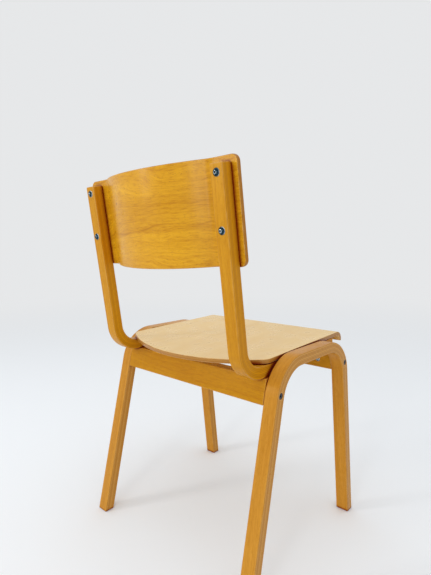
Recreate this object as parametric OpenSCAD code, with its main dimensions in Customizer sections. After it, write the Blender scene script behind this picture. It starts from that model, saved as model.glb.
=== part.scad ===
// Wooden stacking chair: two bent side frames, two cross rails, two bent back
// uprights that run forward under the seat, a moulded seat and a curved back panel.
// X runs across the chair, +Y points to the back, +Z points up. Millimetres.

/* [Side frames] */
// Height of the top of the side frames above the floor
frame_h = 440; // [360:1:540]
// Width over the outer faces of the two side frames
frame_out_w = 475; // [390:1:580]
// Depth of a side frame, front face to back face, if its corners were square
frame_depth = 268; // [220:1:330]
// Width of the bent side frame strip, across the chair
strip_w = 30; // [25:0.5:36]
// Thickness of the bent side frame strip
strip_t = 23; // [19:0.5:28]
// Outer radius of the two bends in a side frame
frame_bend_r = 87; // [70:1:105]
// Slope of the rear legs from the vertical, degrees
rear_rake = 13; // [8:0.5:15]
// Slope of the front legs from the vertical, degrees
front_rake = 6.5; // [3:0.5:9]

/* [Cross rails] */
// Drop from the top of the side frames to the top of the rear rail
rail_drop = 38; // [30:1:46]
// Height of a cross rail
rail_h = 49; // [40:1:60]
// How much thinner a cross rail is than the legs that it joins
rail_set_in = 1; // [0:0.5:4]

// How far the frame bolts sit below the middle of a rail's height
bolt_low = 4; // [0:0.5:8]

/* [Back uprights] */
// Height of the top of the uprights above the top of the side frames
back_rise = 345; // [280:1:420]
// Width of an upright, across the chair
upright_w = 28; // [23:0.5:34]
// Thickness of an upright
upright_t = 24; // [20:0.5:29]
// Outer radius of the bend between the upright and its foot
upright_bend_r = 68; // [55:1:85]
// Slope of the uprights from the vertical, degrees
back_rake = 7.75; // [4:0.25:12]
// Rise of the seat and the feet of the uprights towards the front, degrees
seat_pitch = 1.9; // [0:0.1:4]
// Length of upright foot behind the rear rail before the bend starts
foot_behind = 4; // [0:0.5:20]

/* [Seat] */
// Thickness of the seat plywood
seat_t = 9; // [7:0.1:12]
// Depth of the dish along the rear half of the seat
seat_dish = 4.6; // [3:0.2:14]
// Distance that the middle of the rear edge stands behind the rear rail
seat_behind = 56; // [40:1:70]
// Radius of the bowed rear edge, seen from above
seat_bow_r = 350; // [300:5:600]
// Radius of the rear corners, seen from above
seat_corner_r = 22; // [10:1:40]
// Outer radius of the front edge that rolls down
seat_nose_r = 20; // [14:0.5:30]
// Angle that the front edge rolls through, degrees
seat_nose_turn = 105; // [60:5:130]
// Distance from the front of the front rail to the roll of the front edge
seat_ahead = 20; // [8:1:40]

/* [Back panel] */
// Height of the back panel
panel_h = 188; // [150:1:230]
// Thickness of the back panel plywood
panel_t = 9; // [7:0.5:12]
// How far the middle of the panel bows backwards from its flat ends
panel_bow = 47; // [20:1:60]
// Radius of the reverse bend beside each flat end
panel_bend_r = 40; // [25:1:60]
// Height of the panel above the uprights, along their slope
panel_above = 12; // [0:1:30]
// Radius of the panel's corners
panel_corner_r = 13; // [4:1:30]

/* [Fasteners] */
// Thread diameter of the machine bolts
bolt_d = 6; // [5:1:8]
// Diameter of the frame bolt heads
frame_head_d = 12; // [10:0.5:14]
// Height of the frame bolt heads
frame_head_h = 4; // [3:0.5:5]
// Diameter of the barrel nuts
nut_d = 10; // [9:0.5:12]
// Length of the barrel nuts
nut_len = 16; // [14:0.5:18]
// Distance from the end of a rail to the centre of its barrel nut
nut_inset = 34; // [28:1:50]
// Diameter of the wooden dowels
dowel_d = 8; // [6:0.5:10]
// Length of the wooden dowels
dowel_len = 34; // [26:1:42]
// Distance from the middle of a dowel to the top or bottom edge of its rail
dowel_edge = 9; // [7:0.5:11]
// Diameter of the domed heads on the back
dome_d = 15; // [12:0.5:18]
// Height of the domed heads on the back
dome_h = 4.5; // [3:0.5:6]
// Height of the domed heads of the sleeve nuts
sleeve_head_h = 3; // [2:0.5:4]
// Diameter of the sleeve nuts
sleeve_d = 8.5; // [8:0.5:11]
// Length of the sleeve nuts
sleeve_len = 24; // [18:1:28]
// Distance from the top of an upright to its upper bolt
bolt_drop = 15.5; // [12:0.5:40]
// Distance between the two bolts of an upright
bolt_pitch = 95; // [70:1:120]
// Diameter of the screws that hold the feet to the rails
foot_screw_d = 5; // [4:0.5:6]
// Wood between the tip of those screws and the frame bolts below them
foot_screw_clear = 4; // [3:0.5:8]
// Diameter of the screws that hold the seat
seat_screw_d = 4; // [3.5:0.5:5]
// Wood between the tip of those screws and the top of the seat
seat_screw_skin = 3; // [2:0.5:4]
// Distance from the middle of each rail to the seat screw beside it
seat_screw_in = 65; // [50:1:80]

/* [Fits] */
// Gap between an upright and the side frame beside it
upright_gap = 5; // [2:0.5:8]
// Gap between the seat's edge and the side frame beside it
seat_side_gap = 3; // [1:0.5:8]
// Gap between the seat and the feet of the uprights, at their inner edges
seat_gap = 0.4; // [0.3:0.1:1]
// How far each end of the panel stands past the upright that it is bolted to
panel_overhang = 12.5; // [0:0.5:20]
// Length of the panel's flat end inside the upright's inner edge
panel_margin = 9.5; // [4:0.5:20]
// Play of a bolt in its hole, on the diameter
bolt_play = 0.5; // [0.3:0.1:1]
// Play of a thread, a screw or a dowel in its hole, on the diameter
close_play = 0.1; // [0.05:0.05:0.2]
// Depth of a frame bolt's head below the face of the leg
head_sink = 1; // [0:0.5:2]

/* [Hidden] */

right = -1; // the sitter's right hand is on the -X side
left = 1;

beech = "#d9a14a";
beech_pale = "#e0bd86";
dark_steel = "#3c4248";
bright_steel = "#8d959c";
dowel_wood = "#d8bd8c";

small = 48; // sides of holes and fasteners

// Side frame, in the plane of depth and height
out_x = frame_out_w / 2;
in_x = out_x - strip_w;
back_y = frame_depth / 2; // rear face at the top, before the bend
front_y = -frame_depth / 2; // front face at the top, before the bend
bend_z = frame_h - frame_bend_r;
rail_t = strip_t - rail_set_in;

// The plane that the feet rest on: the tops of both rails
rear_slope = tan(rear_rake);
front_slope = tan(front_rake);
pitch_slope = tan(seat_pitch);
rest_z = frame_h - rail_drop;
rest_y = back_y + rear_slope * rail_drop;

// Tops of the rails, back edge and front edge, as [depth, height]
rear_top_back = [rest_y, rest_z];
rear_top_front_y = rest_y - rail_t / cos(rear_rake) / (1 - rear_slope * pitch_slope);
rear_top_front = [rear_top_front_y, rest_height(rear_top_front_y)];
front_inner_y = front_y + strip_t / cos(front_rake);
front_top_back_y = (front_inner_y - front_slope * (rail_drop - rest_y * pitch_slope))
    / (1 + front_slope * pitch_slope);
front_top_back = [front_top_back_y, rest_height(front_top_back_y)];
front_top_front_y = front_top_back_y
    - rail_t / cos(front_rake) / (1 + front_slope * pitch_slope);
front_top_front = [front_top_front_y, rest_height(front_top_front_y)];
rear_down = [rear_slope * rail_h, -rail_h];
front_down = [-front_slope * rail_h, -rail_h];
rear_joint = (rear_top_back + rear_top_front + rear_down) / 2;
front_joint = (front_top_back + front_top_front + front_down) / 2;

// Uprights, in the frame of the plane that their feet rest on
upright_x = in_x - upright_gap - upright_w / 2;
upright_in_x = upright_x - upright_w / 2;
upright_h = frame_h + back_rise;
lean = back_rake - seat_pitch; // slope of the upright from its foot's normal
foot_front = front_top_front_y - rest_y; // end of the foot, from the rear rail's back
bend_centre_y = rest_y + foot_behind * cos(seat_pitch) + upright_bend_r * sin(seat_pitch);
bend_centre_z = rest_z - foot_behind * sin(seat_pitch) + upright_bend_r * cos(seat_pitch);
upright_len = (upright_h - bend_centre_z + upright_bend_r * sin(back_rake)) / cos(back_rake);
top_y = bend_centre_y + upright_bend_r * cos(back_rake) + upright_len * sin(back_rake);

// Seat, in the same frame
seat_x = in_x - seat_side_gap;
nose_y = foot_front - seat_ahead;
dish_back_y = -60; // the dish has its full depth behind here
seat_columns = 40;
seat_rows = 24;
nose_rows = 10;

// Back panel: the two bends of each half meet where both are at this angle
panel_x = upright_x + upright_w / 2 + panel_overhang;
bend_x = upright_in_x - panel_margin;
bend_angle = 2 * atan(panel_bow / bend_x);
arc_sum = bend_x / sin(bend_angle);
panel_main_r = arc_sum - panel_bend_r;

// Middle of the chair's depth, which is where its frame starts
deepest_y = top_y + (panel_bow - upright_t) * cos(back_rake) + panel_above * sin(back_rake);
foremost_y = front_y - front_slope * frame_h;
mid_y = (deepest_y + foremost_y) / 2;

// Screws
hex_af = 4; // across the flats of a hexagon socket
screw_head_d = 9.5;
screw_head_h = 2.8;
seat_screw_head_d = 8;
seat_screw_head_h = 3;
seat_screw_sink = 10; // depth of the seat screw heads inside the feet
foot_screw_bite = rail_h / 2 + bolt_low - bolt_d / 2 - foot_screw_clear;
// Halfway between the end of the dowels and the barrel nut
foot_screw_x = in_x - (dowel_len / 2 + nut_inset - nut_d / 2) / 2;
seat_screw_bite = seat_t - seat_screw_skin;

// Depth of a bend's centre, for a corner at the front
function bend_depth(rake) = front_y + frame_bend_r * (1 - sin(rake)) / cos(rake);

function rest_height(y) = rest_z + (rest_y - y) * pitch_slope;

// Position of the rear edge of the seat at a distance x from its middle
function seat_rear(x) = let (
    corner_x = seat_x - seat_corner_r,
    bow_y = seat_behind - seat_bow_r,
    corner_y = bow_y + sqrt(pow(seat_bow_r - seat_corner_r, 2) - pow(corner_x, 2)),
    join_x = corner_x * seat_bow_r / (seat_bow_r - seat_corner_r)
) abs(x) < join_x
    ? bow_y + sqrt(pow(seat_bow_r, 2) - x * x)
    : corner_y + sqrt(max(0, pow(seat_corner_r, 2) - pow(abs(x) - corner_x, 2)));

// Share of the full dish at a depth y: none at the front edge, all of it behind
function dish_share(y) = let (
    t = min(1, max(0, (y - nose_y) / (dish_back_y - nose_y)))
) t * t * (3 - 2 * t);

// Height of the seat's underside above the plane that the feet rest on
function seat_under(x, y) = upright_t + seat_gap
    + seat_dish * dish_share(y) * (x * x - upright_in_x * upright_in_x) / (seat_x * seat_x);

function seat_point(x, row, is_top) = row <= seat_rows
    ? let (
        y = seat_rear(x) + (nose_y - seat_rear(x)) * row / seat_rows
    ) [x, y, seat_under(x, y) + (is_top ? seat_t : 0)]
    : let (
        a = seat_nose_turn * (row - seat_rows) / nose_rows,
        r = is_top ? seat_nose_r : seat_nose_r - seat_t
    ) [x, nose_y - r * sin(a), seat_under(x, nose_y) + seat_t - seat_nose_r + r * cos(a)];

// Points of one half of the panel's plan, from its middle to its end
function panel_half(inset) = concat(
    [for (i = [0 : 20]) let (a = bend_angle * i / 20, r = panel_main_r - inset)
        [r * sin(a), panel_bow - panel_main_r + r * cos(a)]],
    [for (i = [1 : 8]) let (a = bend_angle * (1 - i / 8), r = panel_bend_r + inset)
        [bend_x - r * sin(a), panel_bend_r - r * cos(a)]],
    [[panel_x, -inset]]
);

function mirrored(points) = [for (i = [len(points) - 1 : -1 : 1]) [-points[i].x, points[i].y]];

// ---- Frames of reference ----

module chair() translate([0, -mid_y, 0]) children();

// Depth and height drawn as a flat shape, given a width across the chair
module across(w) rotate([90, 0, 90]) linear_extrude(w, center = true) children();

// Frame of a corner joint: Y through the rail's thickness, Z up the leg
module at_joint(joint, tilt) translate([0, joint[0], joint[1]]) rotate([tilt, 0, 0]) children();
module at_rear_joint() at_joint(rear_joint, rear_rake) children();
module at_front_joint() at_joint(front_joint, -front_rake) children();

// Frame of the feet and the seat: its origin is the rear rail's top back edge
module on_rails() translate([0, rest_y, rest_z]) rotate([-seat_pitch, 0, 0]) children();

// Frame of the back: its origin is the top of the uprights' rear faces
module on_back() translate([0, top_y, upright_h]) rotate([-back_rake, 0, 0]) children();

// Inward along a frame bolt, from a distance x beside the middle of the chair
module from_outside(side, x)
    translate([side * x, 0, -bolt_low]) rotate([0, -side * 90, 0]) children();

// ---- Side frames ----

// Points of an arc about a centre [depth, height], in steps of about 4 degrees
function arc(centre, r, a0, a1) = let (n = ceil(abs(a1 - a0) / 4))
    [for (i = [0 : n]) on_arc(centre, r, a0 + (a1 - a0) * i / n)];
function on_arc(centre, r, a) = centre + r * [cos(a), sin(a)];

// One strip bent twice: rear leg, top and front leg, cut level at the floor
module bent_side_frame() {
    rear = [-bend_depth(rear_rake), bend_z];
    front = [bend_depth(front_rake), bend_z];
    inner_r = frame_bend_r - strip_t;
    across(strip_w) polygon(concat(
        [[back_y + rear_slope * frame_h, 0]],
        arc(rear, frame_bend_r, rear_rake, 90),
        arc(front, frame_bend_r, 90, 180 - front_rake),
        [[foremost_y, 0], [foremost_y + strip_t / cos(front_rake), 0]],
        arc(front, inner_r, 180 - front_rake, 90),
        arc(rear, inner_r, 90, rear_rake),
        [[back_y + rear_slope * frame_h - strip_t / cos(rear_rake), 0]]
    ));
}

module joint_holes_in_leg(side) {
    from_outside(side, out_x) {
        cylinder(h = head_sink + frame_head_h, d = frame_head_d + bolt_play, $fn = small);
        cylinder(h = strip_w, d = bolt_d + bolt_play, $fn = small);
    }
    dowel_holes(side);
}

dowel_pitch = rail_h - 2 * dowel_edge;

module dowel_holes(side)
    for (z = [-1, 1]) translate([side * in_x, 0, z * dowel_pitch / 2]) rotate([0, 90, 0])
        cylinder(h = dowel_len + 2 * close_play, d = dowel_d + close_play, center = true,
            $fn = small);

module side_frame(side) color(beech) chair() difference() {
    translate([side * (out_x - strip_w / 2), 0, 0]) bent_side_frame();
    at_rear_joint() joint_holes_in_leg(side);
    at_front_joint() joint_holes_in_leg(side);
}

module side_frame_right() side_frame(right);
module side_frame_left() side_frame(left);

// ---- Cross rails ----

// Holes in one end of a rail; inner is the side of the rail that the barrel nut enters
module joint_holes_in_rail(side, inner) {
    from_outside(side, in_x)
        cylinder(h = nut_inset + nut_d, d = bolt_d + bolt_play, $fn = small);
    barrel_nut_place(side, inner)
        cylinder(h = nut_len + close_play, d = nut_d + close_play, $fn = small);
    dowel_holes(side);
}

module barrel_nut_place(side, inner)
    translate([side * (in_x - nut_inset), inner * rail_t / 2, -bolt_low])
        rotate([inner * 90, 0, 0]) children();

module foot_screw_holes(y) on_rails() for (side = [right, left])
    translate([side * foot_screw_x, y, -foot_screw_bite - close_play])
        cylinder(h = foot_screw_bite + upright_t, d = foot_screw_d + close_play, $fn = small);

rear_screw_y = (rear_top_front_y - rest_y) / 2;
front_screw_y = (front_top_back_y + front_top_front_y) / 2 - rest_y;

module rear_rail() color(beech) chair() difference() {
    across(2 * in_x) polygon([rear_top_back, rear_top_back + rear_down,
        rear_top_front + rear_down, rear_top_front]);
    at_rear_joint() for (side = [right, left]) joint_holes_in_rail(side, -1);
    foot_screw_holes(rear_screw_y);
}

module front_rail() color(beech) chair() difference() {
    across(2 * in_x) polygon([front_top_back, front_top_back + front_down,
        front_top_front + front_down, front_top_front]);
    at_front_joint() for (side = [right, left]) joint_holes_in_rail(side, 1);
    foot_screw_holes(front_screw_y);
}

// ---- Back uprights ----

// One strip bent once: the foot lies on the rails and the upright leans back
module bent_upright() {
    centre = [foot_behind, upright_bend_r];
    inner_r = upright_bend_r - upright_t;
    rise = upright_len * [sin(lean), cos(lean)];
    across(upright_w) polygon(concat(
        [[foot_front, 0]],
        arc(centre, upright_bend_r, -90, -lean),
        [on_arc(centre, upright_bend_r, -lean) + rise, on_arc(centre, inner_r, -lean) + rise],
        arc(centre, inner_r, -lean, -90),
        [[foot_front, upright_t]]
    ));
}

module foot_screw_sink(side, y) translate([side * foot_screw_x, y, 0]) {
    cylinder(h = upright_t, d = foot_screw_d + bolt_play, $fn = small);
    translate([0, 0, upright_t - screw_head_h - close_play])
        cylinder(h = screw_head_h + close_play, d1 = foot_screw_d + bolt_play,
            d2 = screw_head_d + bolt_play, $fn = small);
}

seat_screw_ys = [rear_screw_y - seat_screw_in, front_screw_y + seat_screw_in];

module seat_screw_sinks(side) for (y = seat_screw_ys) translate([side * upright_x, y, 0]) {
    cylinder(h = seat_screw_sink, d = seat_screw_head_d + bolt_play, $fn = small);
    cylinder(h = upright_t, d = seat_screw_d + bolt_play, $fn = small);
}

// Places of the two back bolts on one side, along the bolt towards the front
module at_back_bolt(side, z) on_back() translate([side * upright_x, 0, z]) rotate([90, 0, 0])
    children();

upper_bolt_z = -bolt_drop;
lower_bolt_z = -bolt_drop - bolt_pitch;

module back_bolt_hole(side, z) at_back_bolt(side, z)
    cylinder(h = upright_t + panel_t, d = sleeve_d + bolt_play, $fn = small);

module back_upright(side) color(beech) chair() difference() {
    on_rails() difference() {
        translate([side * upright_x, 0, 0]) bent_upright();
        foot_screw_sink(side, rear_screw_y);
        foot_screw_sink(side, front_screw_y);
        seat_screw_sinks(side);
    }
    back_bolt_hole(side, upper_bolt_z);
    back_bolt_hole(side, lower_bolt_z);
}

module back_upright_right() back_upright(right);
module back_upright_left() back_upright(left);

// ---- Seat ----

module seat_sheet() {
    rows = seat_rows + nose_rows;
    xs = [for (i = [0 : seat_columns]) seat_x * sin(180 * i / seat_columns - 90)];
    top = [for (j = [0 : rows], x = xs) seat_point(x, j, true)];
    under = [for (j = [0 : rows], x = xs) seat_point(x, j, false)];
    n = seat_columns + 1;
    low = len(top);
    edge = concat([for (i = [0 : seat_columns]) i],
        [for (j = [1 : rows]) j * n + seat_columns],
        [for (i = [seat_columns - 1 : -1 : 0]) rows * n + i],
        [for (j = [rows - 1 : -1 : 1]) j * n]);
    polyhedron(concat(top, under), concat(
        [for (j = [0 : rows - 1], i = [0 : seat_columns - 1], half = [0, 1])
            half == 0 ? [j * n + i, j * n + i + 1, (j + 1) * n + i + 1]
                : [j * n + i, (j + 1) * n + i + 1, (j + 1) * n + i]],
        [for (j = [0 : rows - 1], i = [0 : seat_columns - 1], half = [0, 1])
            half == 0 ? [low + j * n + i, low + (j + 1) * n + i + 1, low + j * n + i + 1]
                : [low + j * n + i, low + (j + 1) * n + i, low + (j + 1) * n + i + 1]],
        [for (k = [0 : len(edge) - 1], half = [0, 1]) let (
            a = edge[k], b = edge[(k + 1) % len(edge)]
        ) half == 0 ? [a, low + b, b] : [a, low + a, low + b]]
    ), convexity = 6);
}

module seat_shell() color(beech_pale) chair() on_rails() difference() {
    seat_sheet();
    for (side = [right, left], y = seat_screw_ys) translate([side * upright_x, y, 0])
        cylinder(h = upright_t + seat_screw_bite + close_play, d = seat_screw_d + close_play,
            $fn = small);
}

// ---- Back panel ----

module panel_outline() {
    x = 2 * (panel_x - panel_corner_r);
    z = panel_h - 2 * panel_corner_r;
    square([2 * panel_x, z], center = true);
    square([x, panel_h], center = true);
    for (i = [-1, 1], j = [-1, 1])
        translate([i * x / 2, j * z / 2]) circle(panel_corner_r, $fn = small);
}

module panel_plan() {
    rear = panel_half(0);
    front = panel_half(panel_t);
    polygon(concat(mirrored(rear), rear, [for (i = [len(front) - 1 : -1 : 0]) front[i]],
        [for (i = [1 : len(front) - 1]) [-front[i].x, front[i].y]]));
}

module back_panel() color(beech) chair() difference() {
    on_back() translate([0, -upright_t, panel_above - panel_h]) intersection() {
        linear_extrude(panel_h) panel_plan();
        translate([0, panel_bow + 1, panel_h / 2]) rotate([90, 0, 0])
            linear_extrude(panel_bow + panel_t + 2) panel_outline();
    }
    for (side = [right, left], z = [upper_bolt_z, lower_bolt_z]) back_bolt_hole(side, z);
}

// ---- Frame fasteners ----

module hex_socket(depth) translate([0, 0, -close_play])
    cylinder(h = depth + close_play, d = hex_af / cos(30), $fn = 6);

module frame_bolt(side) color(dark_steel) from_outside(side, out_x - head_sink) difference() {
    union() {
        cylinder(h = frame_head_h, d = frame_head_d, $fn = small);
        cylinder(h = strip_w + nut_inset + nut_d / 2 - head_sink, d = bolt_d, $fn = small);
    }
    hex_socket(frame_head_h * 0.7);
}

module rear_frame_bolt_right() chair() at_rear_joint() frame_bolt(right);
module rear_frame_bolt_left() chair() at_rear_joint() frame_bolt(left);
module front_frame_bolt_right() chair() at_front_joint() frame_bolt(right);
module front_frame_bolt_left() chair() at_front_joint() frame_bolt(left);

// The bolt crosses the barrel nut in the middle of the rail's thickness
module barrel_nut(side, inner) color(bright_steel) difference() {
    barrel_nut_place(side, inner) difference() {
        cylinder(h = nut_len, d = nut_d, $fn = small);
        translate([-nut_d / 2, -0.6, -close_play]) cube([nut_d, 1.2, 1.2 + close_play]);
    }
    from_outside(side, in_x)
        cylinder(h = nut_inset + nut_d, d = bolt_d + close_play, $fn = small);
}

module rear_barrel_nut_right() chair() at_rear_joint() barrel_nut(right, -1);
module rear_barrel_nut_left() chair() at_rear_joint() barrel_nut(left, -1);
module front_barrel_nut_right() chair() at_front_joint() barrel_nut(right, 1);
module front_barrel_nut_left() chair() at_front_joint() barrel_nut(left, 1);

module dowels(side) color(dowel_wood) for (z = [-1, 1])
    translate([side * in_x, 0, z * dowel_pitch / 2]) rotate([0, 90, 0])
        cylinder(h = dowel_len, d = dowel_d, center = true, $fn = small);

module rear_dowels_right() chair() at_rear_joint() dowels(right);
module rear_dowels_left() chair() at_rear_joint() dowels(left);
module front_dowels_right() chair() at_front_joint() dowels(right);
module front_dowels_left() chair() at_front_joint() dowels(left);

// ---- Back fasteners ----

// Domed head that stands on z = 0 and rises along +z
module dome(h) {
    r = (dome_d * dome_d / 4 + h * h) / (2 * h);
    intersection() {
        translate([0, 0, h - r]) sphere(r, $fn = small);
        cylinder(h = h, d = dome_d, $fn = small);
    }
}

module back_bolt(side, z) color(bright_steel) chair() at_back_bolt(side, z) {
    difference() {
        mirror([0, 0, 1]) dome(dome_h);
        translate([0, 0, -dome_h]) hex_socket(dome_h * 0.7);
    }
    cylinder(h = upright_t + panel_t / 2, d = bolt_d, $fn = small);
}

module upper_back_bolt_right() back_bolt(right, upper_bolt_z);
module upper_back_bolt_left() back_bolt(left, upper_bolt_z);
module lower_back_bolt_right() back_bolt(right, lower_bolt_z);
module lower_back_bolt_left() back_bolt(left, lower_bolt_z);

module sleeve_nut(side, z) color(bright_steel) chair() at_back_bolt(side, z)
    translate([0, 0, upright_t + panel_t]) difference() {
        union() {
            dome(sleeve_head_h);
            translate([0, 0, -sleeve_len]) cylinder(h = sleeve_len, d = sleeve_d, $fn = small);
        }
        translate([0, 0, -sleeve_len - close_play])
            cylinder(h = sleeve_len + close_play, d = bolt_d + close_play, $fn = small);
    }

module upper_sleeve_nut_right() sleeve_nut(right, upper_bolt_z);
module upper_sleeve_nut_left() sleeve_nut(left, upper_bolt_z);
module lower_sleeve_nut_right() sleeve_nut(right, lower_bolt_z);
module lower_sleeve_nut_left() sleeve_nut(left, lower_bolt_z);

// ---- Screws ----

module foot_screw(side, y) color(bright_steel) chair() on_rails()
    translate([side * foot_screw_x, y, 0]) {
        translate([0, 0, -foot_screw_bite])
            cylinder(h = foot_screw_bite + upright_t - screw_head_h, d = foot_screw_d,
                $fn = small);
        translate([0, 0, upright_t - screw_head_h])
            cylinder(h = screw_head_h, d1 = foot_screw_d, d2 = screw_head_d, $fn = small);
    }

module rear_foot_screw_right() foot_screw(right, rear_screw_y);
module rear_foot_screw_left() foot_screw(left, rear_screw_y);
module front_foot_screw_right() foot_screw(right, front_screw_y);
module front_foot_screw_left() foot_screw(left, front_screw_y);

module seat_screws(side) color(bright_steel) chair() on_rails() for (y = seat_screw_ys)
    translate([side * upright_x, y, seat_screw_sink]) {
        translate([0, 0, -seat_screw_head_h])
            cylinder(h = seat_screw_head_h, d = seat_screw_head_d, $fn = small);
        cylinder(h = upright_t - seat_screw_sink + seat_screw_bite, d = seat_screw_d,
            $fn = small);
    }

module seat_screws_right() seat_screws(right);
module seat_screws_left() seat_screws(left);

side_frame_right();
side_frame_left();
rear_rail();
front_rail();
back_upright_right();
back_upright_left();
seat_shell();
back_panel();
rear_frame_bolt_right();
rear_frame_bolt_left();
front_frame_bolt_right();
front_frame_bolt_left();
rear_barrel_nut_right();
rear_barrel_nut_left();
front_barrel_nut_right();
front_barrel_nut_left();
rear_dowels_right();
rear_dowels_left();
front_dowels_right();
front_dowels_left();
upper_back_bolt_right();
upper_back_bolt_left();
lower_back_bolt_right();
lower_back_bolt_left();
upper_sleeve_nut_right();
upper_sleeve_nut_left();
lower_sleeve_nut_right();
lower_sleeve_nut_left();
rear_foot_screw_right();
rear_foot_screw_left();
front_foot_screw_right();
front_foot_screw_left();
seat_screws_right();
seat_screws_left();
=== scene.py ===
"""A wooden stacking chair: bent beech side frames and uprights, a dished plywood seat and a bowed back."""
import math

import bmesh
import bpy
from mathutils import Matrix, Vector


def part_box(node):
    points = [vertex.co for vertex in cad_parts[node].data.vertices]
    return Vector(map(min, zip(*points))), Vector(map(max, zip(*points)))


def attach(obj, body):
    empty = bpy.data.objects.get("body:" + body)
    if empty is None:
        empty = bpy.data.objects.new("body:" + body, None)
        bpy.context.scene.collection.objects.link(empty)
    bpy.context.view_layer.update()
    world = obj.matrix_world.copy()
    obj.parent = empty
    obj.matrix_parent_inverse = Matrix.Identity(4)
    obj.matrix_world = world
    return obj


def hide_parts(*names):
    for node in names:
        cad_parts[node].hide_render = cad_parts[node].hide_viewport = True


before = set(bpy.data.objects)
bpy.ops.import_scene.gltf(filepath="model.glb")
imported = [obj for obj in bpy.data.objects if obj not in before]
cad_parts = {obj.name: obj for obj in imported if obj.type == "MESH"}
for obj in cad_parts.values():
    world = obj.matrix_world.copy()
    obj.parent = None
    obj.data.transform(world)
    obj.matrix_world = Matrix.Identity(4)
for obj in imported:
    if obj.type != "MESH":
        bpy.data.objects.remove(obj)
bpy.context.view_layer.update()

MM = 0.001
X, Y, Z = Vector((1, 0, 0)), Vector((0, 1, 0)), Vector((0, 0, 1))

# ---- Driving sizes, in metres and radians, as the frame has them ----

frame_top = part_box("side_frame_right")[1].z
out_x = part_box("side_frame_left")[1].x
strip_w, strip_t = 30 * MM, 23 * MM
frame_depth = 268 * MM
frame_bend_r = 87 * MM
rear_rake, front_rake = math.radians(13), math.radians(6.5)
in_x = out_x - strip_w

rail_drop, rail_h, rail_t = 38 * MM, 49 * MM, 22 * MM

upright_w, upright_t = 28 * MM, 24 * MM
upright_gap = 5 * MM
upright_bend_r = 68 * MM
upright_rise = 345 * MM
back_rake, seat_pitch = math.radians(7.75), math.radians(1.9)
foot_behind = 4 * MM
upright_x = in_x - upright_gap - upright_w / 2
upright_in_x = upright_x - upright_w / 2

seat_t, seat_dish, seat_gap = 9 * MM, 4.6 * MM, 0.4 * MM
seat_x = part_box("seat_shell")[1].x
seat_behind, seat_bow_r, seat_corner_r = 56 * MM, 350 * MM, 22 * MM
seat_nose_r, seat_ahead, seat_nose_turn = 20 * MM, 20 * MM, math.radians(105)
dish_back_y = -60 * MM  # the dish has its full depth behind here

panel_t, panel_h, panel_bow = 9 * MM, 188 * MM, 47 * MM
panel_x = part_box("back_panel")[1].x
panel_margin = 9.5 * MM
panel_bend_r, panel_above, panel_corner_r = 40 * MM, 12 * MM, 13 * MM

head_w, head_h, hex_flats = 15 * MM, 4.5 * MM, 4 * MM  # domed heads on the back, and all hexagon sockets
sleeve_head_h, sleeve_r, sleeve_len = 3 * MM, 4.25 * MM, 24 * MM
thread_r = 3 * MM
back_bolt_drops = {"upper": 15.5 * MM, "lower": 110.5 * MM}  # below the uprights' tops
cap_r, cap_h, cap_sink = 6 * MM, 4 * MM, 5 * MM  # frame bolts, whose heads lie 1 mm below the legs' sides
nut_r, nut_len, nut_inset = 5 * MM, 16 * MM, 34 * MM  # cross nuts, and their distance from the rails' ends

soft_edge = 2.0 * MM  # rounding of the bent strips
rail_edge = 1.6 * MM
ply_edge = 1.7 * MM  # rounding of the moulded plywood

# ---- Places that follow from them ----

back_y = frame_depth / 2
foremost_y = -back_y - math.tan(front_rake) * frame_top
to_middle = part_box("side_frame_right")[0].y - foremost_y  # the frame's origin is in the middle of its depth
rest_z = frame_top - rail_drop
rest_y = back_y + math.tan(rear_rake) * rail_drop
pitch_slope = math.tan(seat_pitch)


def rest_height(y):
    """Height of the plane that the uprights' feet rest on, at a depth."""
    return rest_z + (rest_y - y) * pitch_slope


front_slope = math.tan(front_rake)
front_leg_y = -back_y + strip_t / math.cos(front_rake)
front_ratio = 1 + front_slope * pitch_slope
front_rail_back = (front_leg_y - front_slope * (rail_drop - rest_y * pitch_slope)) / front_ratio
front_rail_y = front_rail_back - rail_t / math.cos(front_rake) / front_ratio
foot_front = front_rail_y - rest_y
nose_y = foot_front - seat_ahead
lean = back_rake - seat_pitch
upright_h = frame_top + upright_rise
bend_centre = (rest_y + foot_behind * math.cos(seat_pitch) + upright_bend_r * math.sin(seat_pitch),
               rest_z - foot_behind * math.sin(seat_pitch) + upright_bend_r * math.cos(seat_pitch))
upright_len = (upright_h - bend_centre[1] + upright_bend_r * math.sin(back_rake)) / math.cos(back_rake)
top_y = bend_centre[0] + upright_bend_r * math.cos(back_rake) + upright_len * math.sin(back_rake)

chair = Matrix.Translation((0, to_middle, 0))
on_rails = chair @ Matrix.Translation((0, rest_y, rest_z)) @ Matrix.Rotation(-seat_pitch, 4, "X")
on_back = chair @ Matrix.Translation((0, top_y, upright_h)) @ Matrix.Rotation(-back_rake, 4, "X")


# ---- Workshop helpers ----

def pick(piece):
    """Leaves only this piece selected and active."""
    bpy.ops.object.select_all(action="DESELECT")
    piece.select_set(True)
    bpy.context.view_layer.objects.active = piece


def choose(piece, kind, test):
    """In edit mode, selects only the faces, edges or verts that pass the test."""
    mesh = bmesh.from_edit_mesh(piece.data)
    mode = {"verts": "VERT", "edges": "EDGE", "faces": "FACE"}[kind]
    bpy.ops.mesh.select_mode(type=mode)
    bpy.ops.mesh.select_all(action="DESELECT")
    mesh = bmesh.from_edit_mesh(piece.data)
    for part in getattr(mesh, kind):
        part.select_set(bool(test(part)))
    mesh.select_flush_mode()
    bmesh.update_edit_mesh(piece.data)


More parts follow.
